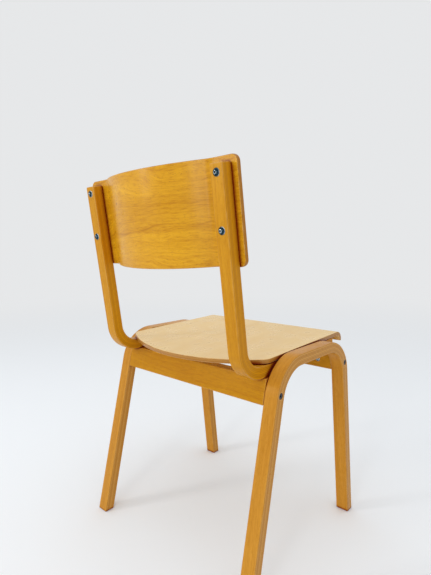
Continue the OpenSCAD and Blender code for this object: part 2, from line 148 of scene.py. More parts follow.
def bar(name, low, high):
    """A block between two corners, left open in edit mode."""
    bpy.ops.object.select_all(action="DESELECT")
    low, high = Vector(low), Vector(high)
    bpy.ops.mesh.primitive_cube_add(size=1, location=(low + high) / 2, scale=high - low)
    piece = bpy.context.active_object
    piece.name = piece.data.name = name
    bpy.ops.object.transform_apply(location=True, rotation=True, scale=True)
    bpy.ops.object.mode_set(mode="EDIT")
    return piece


def end_face(piece, point, along):
    """Selects the flat end at a point that faces along a direction."""
    point, along = Vector(point), Vector(along).normalized()

    def is_end(face):
        return (face.normal.dot(along) > 0.999
                and abs((face.calc_center_median() - point).dot(along)) < 0.2 * MM)

    choose(piece, "faces", is_end)


def extrude(move):
    bpy.ops.mesh.extrude_region_move(TRANSFORM_OT_translate={"value": Vector(move)})


def sweep(centre, axis, angle, steps):
    """Spins the selected end by a right-handed angle, which the operator takes the other way."""
    bpy.ops.mesh.spin(steps=steps, angle=-angle, center=centre, axis=axis)


def cut(point, normal):
    """Cuts the whole piece with a plane and drops what lies on the normal's side."""
    bpy.ops.mesh.select_all(action="SELECT")
    bpy.ops.mesh.bisect(plane_co=point, plane_no=normal, use_fill=True, clear_outer=True)


def score(point, normal):
    """Adds a line of edges where a plane crosses the piece."""
    bpy.ops.mesh.select_all(action="SELECT")
    bpy.ops.mesh.bisect(plane_co=point, plane_no=normal)


def close(piece):
    """Merges doubles, turns every face outwards and leaves edit mode."""
    bpy.ops.mesh.select_all(action="SELECT")
    bpy.ops.mesh.remove_doubles(threshold=0.01 * MM)
    bpy.ops.mesh.normals_make_consistent(inside=False)
    bpy.ops.object.mode_set(mode="OBJECT")
    return piece


def put(piece, matrix):
    """Moves a piece into place and leaves its place in its mesh."""
    pick(piece)
    piece.matrix_world = matrix
    bpy.ops.object.transform_apply(location=True, rotation=True, scale=True)
    return piece


def finish_with(piece, kind, **settings):
    """Adds a modifier with these settings and applies it."""
    pick(piece)
    made = piece.modifiers.new(kind, kind)
    for key, value in settings.items():
        setattr(made, key, value)
    bpy.ops.object.modifier_apply(modifier=made.name)


def soften(piece, width, segments=3):
    """Rounds every sharp edge."""
    finish_with(piece, "BEVEL", width=width, segments=segments, limit_method="ANGLE",
                angle_limit=math.radians(38), use_clamp_overlap=True, miter_outer="MITER_ARC")


def smooth(piece, angle=40):
    pick(piece)
    bpy.ops.object.shade_smooth_by_angle(angle=math.radians(angle))
    finish_with(piece, "WEIGHTED_NORMAL", keep_sharp=True, weight=60)


def drill(piece, cutters):
    """Cuts each cutter's shape out of the piece and removes the cutters."""
    for cutter in cutters:
        finish_with(piece, "BOOLEAN", operation="DIFFERENCE", object=cutter, solver="EXACT")
        bpy.data.objects.remove(cutter)


def copy_of(piece, name, matrix=Matrix()):
    """A copy with its own mesh, moved by a matrix."""
    twin = piece.copy()
    twin.data = piece.data.copy()
    twin.name = twin.data.name = name
    bpy.context.scene.collection.objects.link(twin)
    return put(twin, matrix)


def mirrored(piece, name):
    """The piece for the other side of the chair."""
    twin = copy_of(piece, name, Matrix.Scale(-1, 4, X))
    pick(twin)
    bpy.ops.object.mode_set(mode="EDIT")
    bpy.ops.mesh.select_all(action="SELECT")
    bpy.ops.mesh.normals_make_consistent(inside=False)
    bpy.ops.object.mode_set(mode="OBJECT")
    return twin


def stands_for(piece, node):
    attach(piece, "root")
    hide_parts(node)


def veneer(piece, place, shift=0.0):
    """Stores each point's place in the wood: along the grain, across it and through the layers."""
    layer = piece.data.attributes.new("veneer", "FLOAT_VECTOR", "POINT")
    for point, vertex in zip(layer.data, piece.data.vertices):
        along, across, depth = place(vertex.co)
        point.vector = (along + shift, across + shift, depth)


def path_place(steps, co):
    """Distance along a path of straight and round steps in the YZ plane, and offset to its outer side."""
    y, z = co.y, co.z
    best, run = None, 0.0
    for step in steps:
        if step[0] == "line":
            a, b = Vector(step[1]), Vector(step[2])
            way, length = (b - a).normalized(), (b - a).length
            gone = (Vector((y, z)) - a).dot(way)
            off = (Vector((y, z)) - a).dot(Vector((way.y, -way.x)))
            miss = max(0.0, -gone, gone - length)
        else:
            centre, r, a0, a1 = step[1:]
            arm = Vector((y, z)) - Vector(centre)
            turn = 1 if a1 > a0 else -1
            angle = (math.atan2(arm.y, arm.x) - a0) * turn
            angle = (angle + math.pi) % (2 * math.pi) - math.pi
            length = abs(a1 - a0) * r
            gone, off = angle * r, (arm.length - r) * turn
            miss = max(0.0, -gone, gone - length)
        cost = miss + abs(off)
        if best is None or cost < best[0] - 1e-7:
            best = (cost, run + gone, off)
        run += length
    return best[1], best[2]


def bore(points, place, way=Z, sides=48):
    """A stepped round cutter: pairs of radius and depth from its mouth down, along a direction."""
    (r0, z0), rest = points[0], points[1:]
    bpy.ops.object.select_all(action="DESELECT")
    bpy.ops.mesh.primitive_circle_add(vertices=sides, radius=r0, fill_type="NGON", location=(0, 0, z0))
    cutter = bpy.context.active_object
    bpy.ops.object.transform_apply(location=True)
    bpy.ops.object.mode_set(mode="EDIT")
    bpy.ops.mesh.select_all(action="SELECT")
    r, z = r0, z0
    for r1, z1 in rest:
        extrude((0, 0, z1 - z))
        bpy.ops.transform.resize(value=(r1 / r, r1 / r, 1), center_override=(0, 0, z1))
        r, z = r1, z1
    close(cutter)
    turn = Z.rotation_difference(Vector(way)).to_matrix().to_4x4()
    return put(cutter, Matrix.Translation(place) @ turn)


def middle(node):
    low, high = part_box(node)
    return (Vector(low) + Vector(high)) / 2


# ---- Side frames ----

def bend_reach(rake):
    """Distance from the square corner of a side frame back to the centre of its bend."""
    return frame_bend_r * (1 - math.sin(rake)) / math.cos(rake)


def side_frame_right():
    """A strip bent at the rear and the front, with its legs cut level at the floor."""
    bend_z = frame_top - frame_bend_r
    rear = (back_y - bend_reach(rear_rake), bend_z)
    front = (-back_y + bend_reach(front_rake), bend_z)
    piece = bar("side_frame_right_bent", (-out_x, front[0], frame_top - strip_t), (-in_x, rear[0], frame_top))
    leg = frame_top / math.cos(rear_rake)
    for (y, z), rake, way in ((rear, rear_rake, 1), (front, front_rake, -1)):
        end_face(piece, (0, y, 0), (0, way, 0))
        sweep((0, y, z), X, -way * (math.pi / 2 - rake), 24)
        extrude(leg * Vector((0, way * math.sin(rake), -math.cos(rake))))
    cut((0, 0, 0), -Z)
    close(piece)
    soften(piece, soft_edge)
    mid_r = frame_bend_r - strip_t / 2
    foot_r = Vector(rear) + mid_r * Vector((math.cos(rear_rake), math.sin(rear_rake)))
    foot_f = Vector(front) + mid_r * Vector((-math.cos(front_rake), math.sin(front_rake)))
    top_z = frame_top - strip_t / 2
    steps = [("line", foot_r + leg * Vector((math.sin(rear_rake), -math.cos(rear_rake))), foot_r),
             ("arc", rear, mid_r, rear_rake, math.pi / 2),
             ("line", (rear[0], top_z), (front[0], top_z)),
             ("arc", front, mid_r, math.pi / 2, math.pi - front_rake),
             ("line", foot_f, foot_f + leg * Vector((-math.sin(front_rake), -math.cos(front_rake))))]

    def place(co):
        along, off = path_place(steps, co)
        return along, co.x, strip_t / 2 - off

    put(piece, chair)
    head_r, bolt_r, lead = cap_r + 0.25 * MM, thread_r + 0.25 * MM, 0.7 * MM
    mouths = [(-out_x, *middle(node)[1:]) for node in ("rear_frame_bolt_right", "front_frame_bolt_right")]
    drill(piece, [bore([(head_r + lead, 0.5 * MM), (head_r + lead, 0), (head_r, -lead), (head_r, -cap_sink),
                        (bolt_r, -cap_sink), (bolt_r, -strip_w - 1 * MM)], at, -X)
                  for at in mouths])
    veneer(piece, lambda co: place(chair.inverted() @ co))
    return piece


# ---- Cross rails ----

def rail(name, back_top_y, rake, inner, bolt):
    """A bar between the side frames, cut top and bottom to the slope of the seat."""
    top = Vector((0, back_top_y, rest_height(back_top_y)))
    spare = 10 * MM  # cut off again at the slope
    piece = bar(name, (-in_x, -rail_t, -rail_h - spare), (in_x, 0, spare))
    bpy.ops.object.mode_set(mode="OBJECT")
    put(piece, Matrix.Translation(top) @ Matrix.Rotation(rake, 4, "X"))
    bpy.ops.object.mode_set(mode="EDIT")
    slope = Matrix.Rotation(-seat_pitch, 3, "X") @ Z
    down = Vector((0, math.tan(rake) * rail_h, -rail_h))
    cut(top, slope)
    cut(top + down, -slope)
    close(piece)
    soften(piece, rail_edge)
    put(piece, chair)
    nuts = [middle(bolt.replace("frame_bolt", "barrel_nut") + side) for side in ("_right", "_left")]
    way = Matrix.Rotation(rake, 3, "X") @ Vector((0, inner, 0))
    hole_r, lead, face = nut_r + 0.05 * MM, 0.5 * MM, rail_t / 2
    holes = []
    for at in nuts:
        mouth = middle(bolt + "_right")
        mouth.x = at.x
        holes.append(bore([(hole_r + lead, face + lead), (hole_r + lead, face), (hole_r, face - lead),
                           (hole_r, face - nut_len)], mouth, way))
    drill(piece, holes)
    veneer(piece, lambda co: (co.x, co.z, co.y), shift=sum(map(ord, name)) * 0.37)
    smooth(piece)
    return piece


# ---- Back uprights ----

def upright_right():
    """A strip bent once: its foot lies on the rails and the rest leans back."""
    half = upright_w / 2
    piece = bar("back_upright_right_bent", (-upright_x - half, foot_front, 0),
                (-upright_x + half, foot_behind, upright_t))
    end_face(piece, (0, foot_behind, 0), Y)
    centre = Vector((foot_behind, upright_bend_r))
    sweep((0, *centre), X, math.pi / 2 - lean, 28)
    rise = upright_len * Vector((math.sin(lean), math.cos(lean)))
    extrude((0, *rise))
    close(piece)
    soften(piece, soft_edge)
    mid_r = upright_bend_r - upright_t / 2
    turn_end = centre + mid_r * Vector((math.cos(lean), -math.sin(lean)))
    steps = [("line", (foot_front, upright_t / 2), (foot_behind, upright_t / 2)),
             ("arc", centre, mid_r, -math.pi / 2, -lean),
             ("line", turn_end, turn_end + rise)]

    def place(co):
        along, off = path_place(steps, co)
        return along, co.x, upright_t / 2 - off

    put(piece, on_rails)
    hole_r, past = sleeve_r + 0.25 * MM, 10 * MM
    holes = [bore([(hole_r, past), (hole_r, -upright_t - past)], middle(node), on_back.to_3x3() @ Y)
             for node in ("upper_back_bolt_right", "lower_back_bolt_right")]
    up = on_rails.to_3x3() @ Z
    screw_r, cone_r, cone_h = 2.75 * MM, 5 * MM, 2.9 * MM
    for node in ("rear_foot_screw_right", "front_foot_screw_right"):
        at = on_rails.inverted() @ middle(node)
        at.z = upright_t
        holes.append(bore([(cone_r, 1 * MM), (cone_r, 0), (screw_r, -cone_h), (screw_r, -upright_t - 1 * MM)],
                          on_rails @ at, up))
    sink_r, sink, seat_screw_r, from_end = 4.25 * MM, 10 * MM, 2.25 * MM, 4 * MM
    seat_low, seat_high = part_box("seat_screws_right")
    for y in (seat_low.y, seat_high.y):
        at = on_rails.inverted() @ Vector((-upright_x, y, seat_low.z))
        at.y += math.copysign(from_end, middle("seat_screws_right").y - y)
        at.z = 0
        holes.append(bore([(sink_r, -1 * MM), (sink_r, sink), (seat_screw_r, sink),
                           (seat_screw_r, upright_t + 1 * MM)], on_rails @ at, up))
    drill(piece, holes)
    veneer(piece, lambda co: place(on_rails.inverted() @ co), shift=3.1)
    return piece


# ---- Seat ----

def dish_share(y):
    """Share of the full dish at a depth: none at the front edge, all of it behind."""
    t = min(1, max(0, (y - nose_y) / (dish_back_y - nose_y)))
    return t * t * (3 - 2 * t)


def seat():
    """A sheet with a bowed rear edge, a dish towards the back and a front edge that rolls down."""
    low_z = upright_t + seat_gap
    bow_y = seat_behind - seat_bow_r
    bpy.ops.object.select_all(action="DESELECT")
    bpy.ops.mesh.primitive_cylinder_add(vertices=288, radius=seat_bow_r, depth=seat_t,
                                        location=(0, bow_y, low_z + seat_t / 2))
    piece = bpy.context.active_object
    piece.name = piece.data.name = "seat_moulded"
    bpy.ops.object.transform_apply(location=True)
    bpy.ops.object.mode_set(mode="EDIT")
    cut((0, nose_y, 0), -Y)
    corner = Vector((seat_x - seat_corner_r, 0, 0))
    corner.y = bow_y + math.sqrt((seat_bow_r - seat_corner_r) ** 2 - corner.x ** 2)
    last = math.atan2(corner.y - bow_y, corner.x)
    for side in (-1, 1):
        for i in range(10):
            a = last * i / 10
            way = Vector((side * math.cos(a), math.sin(a), 0))
            cut(Vector((side * corner.x, corner.y, 0)) + seat_corner_r * way, way)
    end_face(piece, (0, nose_y, 0), -Y)
    roll_z = low_z + seat_t - seat_nose_r
    sweep((0, nose_y, roll_z), X, seat_nose_turn, 14)
    bpy.ops.mesh.select_all(action="SELECT")
    bpy.ops.mesh.dissolve_degenerate(threshold=0.2 * MM)
    close(piece)
    soften(piece, ply_edge)
    pick(piece)
    bpy.ops.object.mode_set(mode="EDIT")
    columns, rows = 24, 18
    for i in range(1, columns):
        score((seat_x * (2 * i / columns - 1), 0, 0), X)
    for i in range(rows):
        score((0, nose_y + (seat_behind - nose_y) * i / rows, 0), Y)
    bpy.ops.object.mode_set(mode="OBJECT")

    def place(co):
        if co.y >= nose_y:
            return co.y, co.x, low_z + seat_t - co.z
        arm = Vector((co.y - nose_y, co.z - roll_z))
        return nose_y - math.atan2(-arm.x, arm.y) * seat_nose_r, co.x, seat_nose_r - arm.length

    veneer(piece, place, shift=7.3)
    dish = piece.vertex_groups.new(name="dish")
    share = (upright_in_x / seat_x) ** 2
    for vertex in piece.data.vertices:
        rise = dish_share(vertex.co.y) * ((vertex.co.x / seat_x) ** 2 - share)
        dish.add([vertex.index], 0.5 + rise / 2, "REPLACE")
    finish_with(piece, "DISPLACE", direction="Z", strength=2 * seat_dish, mid_level=0.0,
                vertex_group="dish")
    piece.vertex_groups.clear()
    put(piece, on_rails @ Matrix.Translation((0, 0, -seat_dish)))
    smooth(piece, 30)
    return piece


# ---- Back panel ----

panel_board = 11.0  # where in the veneer the panel is cut from


def back_panel():
    """A sheet with flat ends on the uprights, a reverse bend beside each and a bowed middle."""
    bend_x = upright_in_x - panel_margin
    angle = 2 * math.atan(panel_bow / bend_x)
    main_r = bend_x / math.sin(angle) - panel_bend_r
    face_y = -upright_t
    piece = bar("back_panel_moulded", (-panel_x, face_y - panel_t, panel_above - panel_h),
                (-bend_x, face_y, panel_above))
    middle_y = face_y + panel_bow - main_r
    way = X
    for centre, turn, steps in (((-bend_x, face_y + panel_bend_r), angle, 10),
                                ((0, middle_y), -2 * angle, 44),
                                ((bend_x, face_y + panel_bend_r), angle, 10)):
        end_face(piece, end_point(piece, way), way)
        sweep((*centre, 0), Z, turn, steps)
        way = Matrix.Rotation(turn, 3, "Z") @ way
    end_face(piece, (bend_x, face_y, 0), X)
    extrude(((panel_x - bend_x), 0, 0))

    def is_corner(edge):
        a, b = (v.co for v in edge.verts)
        return (abs(abs(a.x) - panel_x) < 0.1 * MM and abs(a.z - b.z) < 0.01 * MM
                and abs(a.x - b.x) < 0.01 * MM)

    choose(piece, "edges", is_corner)
    bpy.ops.mesh.bevel(offset=panel_corner_r, segments=9, affect="EDGES")
    close(piece)
    soften(piece, ply_edge)
    mid = face_y - panel_t / 2
    out_r, in_r, square = panel_bend_r + panel_t / 2, main_r - panel_t / 2, math.pi / 2
    steps = [("line", (-panel_x, mid), (-bend_x, mid)),
             ("arc", (-bend_x, face_y + panel_bend_r), out_r, -square, angle - square),
             ("arc", (0, middle_y), in_r, square + angle, square - angle),
             ("arc", (bend_x, face_y + panel_bend_r), out_r, -square - angle, -square),
             ("line", (bend_x, mid), (panel_x, mid))]

    def place(co):
        along, off = path_place(steps, Vector((0, co.x, co.y)))
        return along, co.z, panel_t / 2 + off

    put(piece, on_back)
    hole_r, past = sleeve_r + 0.25 * MM, 30 * MM
    drill(piece, [bore([(hole_r, past), (hole_r, -past)], middle(level + "_sleeve_nut_" + side),
                       on_back.to_3x3() @ Y)
                  for level in back_bolt_drops for side in ("right", "left")])
    veneer(piece, lambda co: place(on_back.inverted() @ co), shift=panel_board)
    smooth(piece, 30)
    return piece


def end_point(piece, along):
    """The furthest point of a piece in edit mode along a direction."""
    mesh = bmesh.from_edit_mesh(piece.data)
    return max((v.co.copy() for v in mesh.verts if abs(v.co.x) <= panel_x),
               key=lambda co: co.dot(along))


# ---- Fasteners ----

def dome(name, width, height, neck_r, neck_len):
    """A low domed head over the XY plane with a neck below it, as a turned part."""
    ball_r = (width * width / 4 + height * height) / (2 * height)
    bpy.ops.object.select_all(action="DESELECT")
    bpy.ops.mesh.primitive_uv_sphere_add(segments=48, ring_count=96, radius=ball_r,
                                         location=(0, 0, height - ball_r))
    piece = bpy.context.active_object
    piece.name = piece.data.name = name
    bpy.ops.object.transform_apply(location=True)
    bpy.ops.object.mode_set(mode="EDIT")
    cut((0, 0, 0), -Z)
    choose(piece, "faces", lambda face: face.normal.z < -0.99)
    bpy.ops.mesh.inset(thickness=width / 2 - neck_r)
    extrude((0, 0, -neck_len))
    close(piece)
    return piece


def hexagon(top, depth):
    """A cutter for a hexagon socket with a small lead-in."""
    corner_r = hex_flats / 2 / math.cos(math.pi / 6)
    return bore([(hex_flats / 2 + 0.5 * MM, top + 0.5 * MM), (corner_r, top - 0.4 * MM),
                 (corner_r, top - depth)], (0, 0, 0), Z, sides=6)


def back_bolt():
    """A domed bolt with a hexagon socket, head up."""
    piece = dome("back_bolt", head_w, head_h, thread_r, upright_t + panel_t / 2)
    drill(piece, [hexagon(head_h, 3.2 * MM)])
    soften(piece, 0.25 * MM, 2)
    return piece


def sleeve_nut():
    """The domed head of the sleeve that the back bolt screws into, head up."""
    piece = dome("sleeve_nut", head_w, sleeve_head_h, sleeve_r, sleeve_len)
    hole_r = thread_r + 0.1 * MM
    drill(piece, [bore([(hole_r, -sleeve_len - 1 * MM), (hole_r, -0.5 * MM)], (0, 0, 0))])
    soften(piece, 0.25 * MM, 2)
    return piece


def turned(name, profile):
    """A round bar turned to pairs of radius and height."""
    piece = bore(profile, (0, 0, 0))
    piece.name = piece.data.name = name
    return piece


def frame_bolt():
    """A cap head bolt with a hexagon socket, head up at the height zero."""
    length = strip_w + nut_inset + 5 * MM
    piece = turned("frame_bolt", [(cap_r, 0), (cap_r, -cap_h), (thread_r, -cap_h), (thread_r, -length)])
    drill(piece, [hexagon(0, 2.8 * MM)])
    soften(piece, 0.5 * MM, 2)
    return piece


def barrel_nut():
    """A round cross nut with a slot across its end, which is up at the height zero."""
    piece = turned("barrel_nut", [(nut_r, 0), (nut_r, -nut_len)])
    slot_half, slot_depth, past = 0.6 * MM, 1.2 * MM, 1 * MM
    slot = bar("slot", (-nut_r - past, -slot_half, -slot_depth), (nut_r + past, slot_half, past))
    bpy.ops.object.mode_set(mode="OBJECT")
    thread_hole_r = thread_r + 0.05 * MM
    across = bore([(thread_hole_r, 7 * MM), (thread_hole_r, -7 * MM)], (0, 0, -nut_len / 2), X)
    drill(piece, [slot, across])
    soften(piece, 0.4 * MM, 2)
    return piece


def fasten(model, node, place, way, finish):
    """Puts a copy of a fastener where its node is, head towards a direction."""
    turn = Z.rotation_difference(Vector(way)).to_matrix().to_4x4()
    piece = copy_of(model, node + "_fine", Matrix.Translation(place) @ turn)
    smooth(piece, 35)
    dress(piece, finish)
    stands_for(piece, node)


# ---- Materials ----

class Graph:
    """A node tree with short calls to add a node and wire it up."""

    def __init__(self, tree):
        self.tree = tree

    def add(self, kind, inputs=None, **settings):
        node = self.tree.nodes.new("ShaderNode" + kind)
        for key, value in settings.items():
            setattr(node, key, value)
        for key, value in (inputs or {}).items():
            self.feed(value, node.inputs[key])
        return node

    def feed(self, value, socket):
        if isinstance(value, bpy.types.NodeSocket):
            self.tree.links.new(value, socket)
        else:
            socket.default_value = value

    def math(self, operation, *values, clamp=False):
        node = self.add("Math", operation=operation, use_clamp=clamp)
        for value, socket in zip(values, node.inputs):
            self.feed(value, socket)
        return node.outputs[0]

    def noise(self, place, scale, detail=2.0, rough=0.5):
        """Noise whose grains are stretched by one scale along each axis."""
        stretched = self.add("VectorMath", operation="MULTIPLY", inputs={0: place, 1: scale}).outputs[0]
        return self.add("TexNoise", {"Vector": stretched, "Scale": 1.0, "Detail": detail, "Roughness": rough,
                                     "Distortion": 0.0}).outputs["Fac"]

    def fit(self, value, low, high, to_low=0.0, to_high=1.0):
        """Maps a value from one range to another, with soft ends."""
        return self.add("MapRange", {"Value": value, "From Min": low, "From Max": high, "To Min": to_low,
                                     "To Max": to_high}, interpolation_type="SMOOTHSTEP").outputs["Result"]

    def mix(self, share, a, b):
        node = self.add("Mix", data_type="RGBA", blend_type="MIX")
        for value, name in ((share, "Factor_Float"), (a, "A_Color"), (b, "B_Color")):
            self.feed(value, next(s for s in node.inputs if s.identifier == name))
        return next(s for s in node.outputs if s.identifier == "Result_Color")


def node_group(name, takes, gives):
    """A group with named sockets. Returns it with its graph, its inputs and its output node."""
    tree = bpy.data.node_groups.new(name, "ShaderNodeTree")
    for direction, sockets in (("INPUT", takes), ("OUTPUT", gives)):
        for label, kind in sockets.items():
            tree.interface.new_socket(name=label, in_out=direction, socket_type="NodeSocket" + kind)
    graph = Graph(tree)
    start = tree.nodes.new("NodeGroupInput")
    end = tree.nodes.new("NodeGroupOutput")
    return tree, graph, start.outputs, end.inputs


FLECK, GLUE, KNOT = (0.22, 0.080, 0.010, 1), (0.22, 0.075, 0.012, 1), (0.25, 0.09, 0.015, 1)
# A pale edge colour, for rubbing and for a painted highlight along rounded edges, and a dark red painted
# shade for gaps and corners.
RUBBED_AND_HIGHLIGHT_BEECH, GAP_SHADE = (0.90, 0.62, 0.28, 1), (0.20, 0.012, 0.001, 1)
LACQUER_TINT = (1.0, 0.78, 0.42, 1)


def beech_grain():
    """Streaks along the grain, a wavy figure and the short dark flecks of beech."""
    takes = {"Place": "Vector", "Pale": "Color", "Deep": "Color", "Figure": "Float", "Waviness": "Float",
             "Flecks": "Float"}
    tree, g, given, out = node_group("beech_grain", takes, {"Color": "Color", "Height": "Float"})
    place = given["Place"]
    drift = g.math("SUBTRACT", g.noise(place, (2.2, 9.0, 9.0), 1.0), 0.5)
    ripple = g.math("SUBTRACT", g.noise(place, (9.0, 22.0, 10.0), 2.0), 0.5)
    push = g.math("ADD", g.math("MULTIPLY", drift, 0.16), g.math("MULTIPLY", ripple, 0.03))
    push = g.math("MULTIPLY", push, given["Waviness"])
    bent = g.add("VectorMath", operation="ADD",
                 inputs={0: place, 1: g.add("CombineXYZ", {"Y": push}).outputs[0]}).outputs[0]
    rings = g.fit(g.noise(bent, (0.9, 75.0, 30.0), 2.0, 0.55), 0.36, 0.66)
    streaks = g.fit(g.noise(bent, (3.5, 240.0, 90.0), 3.0, 0.6), 0.35, 0.68)
    fine = g.noise(bent, (16.0, 900.0, 500.0), 2.0, 0.6)
    patches = g.fit(g.noise(place, (3.0, 12.0, 8.0), 2.0), 0.35, 0.7)
    flecks = g.fit(g.noise(bent, (150.0, 1300.0, 900.0), 1.0), 0.62, 0.74)
    dashes = g.fit(g.noise(bent, (55.0, 420.0, 260.0), 2.0, 0.6), 0.42, 0.72)
    shade = g.math("ADD", g.math("MULTIPLY", rings, 0.26), g.math("MULTIPLY", streaks, 0.24))
    shade = g.math("ADD", shade, g.math("MULTIPLY", patches, 0.26))
    shade = g.math("ADD", shade, g.math("MULTIPLY", dashes, g.math("MULTIPLY", given["Flecks"], 0.7)))
    shade = g.math("MULTIPLY", shade, given["Figure"], clamp=True)
    tone = g.mix(shade, given["Pale"], given["Deep"])
    hairs = g.fit(fine, 0.3, 0.75, 0.0, 0.45)
    tone = g.mix(g.math("MULTIPLY", hairs, given["Flecks"]), tone, given["Deep"])
    pits = g.math("MULTIPLY", flecks, given["Flecks"])
    tone = g.mix(pits, tone, FLECK)
    g.feed(tone, out["Color"])
    g.feed(g.math("SUBTRACT", g.math("MULTIPLY", fine, 0.5), pits), out["Height"])
    return tree


def layer_lines():
    """Glue lines between the layers, where an edge shows them, and the tone of each layer."""
    tree, g, given, out = node_group("layer_lines", {"Place": "Vector", "Layer": "Float"},
                                     {"Line": "Float", "Tone": "Float", "Cross": "Float"})
    parts = g.add("SeparateXYZ", {0: given["Place"]}).outputs
    sway = g.math("SUBTRACT", g.noise(given["Place"], (14.0, 14.0, 0.0), 1.0), 0.5)
    sway = g.math("MULTIPLY", sway, 0.12)
    step = g.math("ADD", g.math("DIVIDE", parts["Z"], given["Layer"]), sway)
    off = g.math("ABSOLUTE", g.math("SUBTRACT", g.math("FRACT", step), 0.5))
    g.feed(g.fit(off, 0.07, 0.2, 1.0, 0.0), out["Line"])
    count = g.math("FLOOR", g.math("ADD", step, 0.5))
    tone = g.add("TexWhiteNoise", {"W": count}, noise_dimensions="1D").outputs["Value"]
    g.feed(tone, out["Tone"])
    g.feed(g.math("FLOORED_MODULO", count, 2.0), out["Cross"])
    return tree


def edge_wear():
    """Where an edge is rubbed, patchily, which also paints a highlight along it, and painted shade in gaps
    and corners.
    """
    tree, g, given, out = node_group("edge_wear", {"Radius": "Float", "Place": "Vector"},
                                     {"Rubbed": "Float", "Gap": "Float"})
    # Pale where the surface rounds over an edge: rubbing, and a painted highlight.
    rounded = g.add("Bevel", {"Radius": given["Radius"]}, samples=4).outputs[0]
    flat = g.add("NewGeometry").outputs["Normal"]
    turn = g.add("VectorMath", operation="DOT_PRODUCT", inputs={0: rounded, 1: flat}).outputs["Value"]
    rub_and_highlight = g.fit(turn, 0.995, 0.93)
    patchy = g.fit(g.noise(given["Place"], (30.0, 60.0, 60.0), 3.0), 0.3, 0.65)
    g.feed(g.math("MULTIPLY", rub_and_highlight, patchy), out["Rubbed"])
    # Painted shade: a mask that is strongest where other surfaces are close, in gaps and corners.
    near = g.add("AmbientOcclusion", {"Distance": 0.015}, samples=8).outputs["AO"]
    g.feed(g.fit(near, 0.78, 0.50), out["Gap"])
    return tree


GROUPS = {make.__name__: make() for make in (beech_grain, layer_lines, edge_wear)}


def use_group(g, name, inputs):
    node = g.add("Group", node_tree=GROUPS[name])
    for key, value in inputs.items():
        g.feed(value, node.inputs[key])
    return node.outputs


def new_material(name):
    """A material with its graph and its shader."""
    material = bpy.data.materials.new(name)
    material.use_nodes = True
    shader = next(n for n in material.node_tree.nodes if n.type == "BSDF_PRINCIPLED")
    return material, Graph(material.node_tree), shader


def lacquered_beech(name, pale, deep, layer, figure=1.0, waviness=0.3, cross=0.0, line=0.5, gloss=0.3,
                    coat=0.05, shine=0.2, flecks=0.5, edge=None, thick=0.0, layers=0.25, relief=0.35,
                    crown=None, on_object=False):
    """Lacquered beech whose layers show on its edges."""
    material, g, shader = new_material(name)
    if on_object:
        place = g.add("TexCoord").outputs["Object"]
    else:
        place = g.add("Attribute", attribute_name="veneer").outputs["Vector"]
    grain = use_group(g, "beech_grain", {"Place": place, "Pale": (*pale, 1), "Deep": (*deep, 1),
                                         "Figure": figure, "Waviness": waviness, "Flecks": flecks})
    lines = use_group(g, "layer_lines", {"Place": place, "Layer": layer})
    wear_and_painted_light = use_group(g, "edge_wear", {"Radius": 2.5 * MM, "Place": place})
    tone = grain["Color"]
    if crown:
        tone = crown(g, place, tone, deep)
    if edge:
        depth = g.math("SUBTRACT", g.add("SeparateXYZ", {0: place}).outputs["Z"], thick / 2)
        inside = g.fit(g.math("ABSOLUTE", depth), thick * 0.49, thick * 0.44)
        tone = g.mix(inside, tone, (*edge, 1))
    end_grain = (deep[0] * 0.55, deep[1] * 0.45, deep[2] * 0.4, 1)
    # The last of these mixes paints a pale highlight along rounded edges, which also stands for rubbing.
    for mask, share, colour in ((lines["Tone"], layers, (*deep, 1)), (lines["Cross"], cross, end_grain),
                                (lines["Line"], line, GLUE), (wear_and_painted_light["Rubbed"], 0.5, RUBBED_AND_HIGHLIGHT_BEECH)):
        tone = g.mix(g.math("MULTIPLY", mask, share), tone, colour)
    # Painted shade: dark red in gaps and corners.
    g.feed(g.mix(wear_and_painted_light["Gap"], tone, GAP_SHADE), shader.inputs["Base Color"])
    smudge = g.fit(g.noise(place, (25.0, 25.0, 25.0), 3.0), 0.3, 0.7, gloss - 0.05, gloss + 0.07)
    rough = g.math("ADD", smudge, g.math("MULTIPLY", wear_and_painted_light["Rubbed"], 0.15))
    g.feed(rough, shader.inputs["Roughness"])
    height = g.math("SUBTRACT", grain["Height"], g.math("MULTIPLY", lines["Line"], 0.8))
    bump = g.add("Bump", {"Height": height, "Strength": relief, "Distance": 0.12 * MM})
    g.feed(bump.outputs[0], shader.inputs["Normal"])
    shader.inputs["Coat Weight"].default_value = coat
    shader.inputs["Coat Roughness"].default_value = 0.22
    shader.inputs["Specular IOR Level"].default_value = shine
    shader.inputs["Specular Tint"].default_value = LACQUER_TINT
    return material


def metal(name, colour, worn_and_highlight, rough, metallic=1.0, coat=0.0, rub_and_highlight=0.5, reach=0.5 * MM):
    """Plated steel: fine turning marks, fingerprints in the polish and bright rubbed edges, which stand
    partly for rubbing and partly for a painted highlight.
    """
    material, g, shader = new_material(name)
    place = g.add("TexCoord").outputs["Object"]
    marks = g.noise(place, (900.0, 900.0, 900.0), 3.0)
    bloom = g.noise(place, (160.0, 160.0, 160.0), 2.0)
    wear_and_painted_light = use_group(g, "edge_wear", {"Radius": reach, "Place": place})
    tone = g.mix(g.fit(bloom, 0.3, 0.7), (*colour, 1), (*(c * 1.35 for c in colour), 1))
    # Pale on edges: rubbing, and on the blued steel a painted highlight.
    tone = g.mix(g.math("MULTIPLY", wear_and_painted_light["Rubbed"], rub_and_highlight), tone, (*worn_and_highlight, 1))
    g.feed(tone, shader.inputs["Base Color"])
    g.feed(g.fit(marks, 0.3, 0.7, rough - 0.05, rough + 0.1), shader.inputs["Roughness"])
    bump = g.add("Bump", {"Height": marks, "Strength": 0.1, "Distance": 0.03 * MM})
    g.feed(bump.outputs[0], shader.inputs["Normal"])
    shader.inputs["Metallic"].default_value = metallic
    shader.inputs["Coat Weight"].default_value = coat
    shader.inputs["Coat Roughness"].default_value = 0.08
    return material


def dress(piece, material):
    piece.data.materials.clear()
    piece.data.materials.append(material)


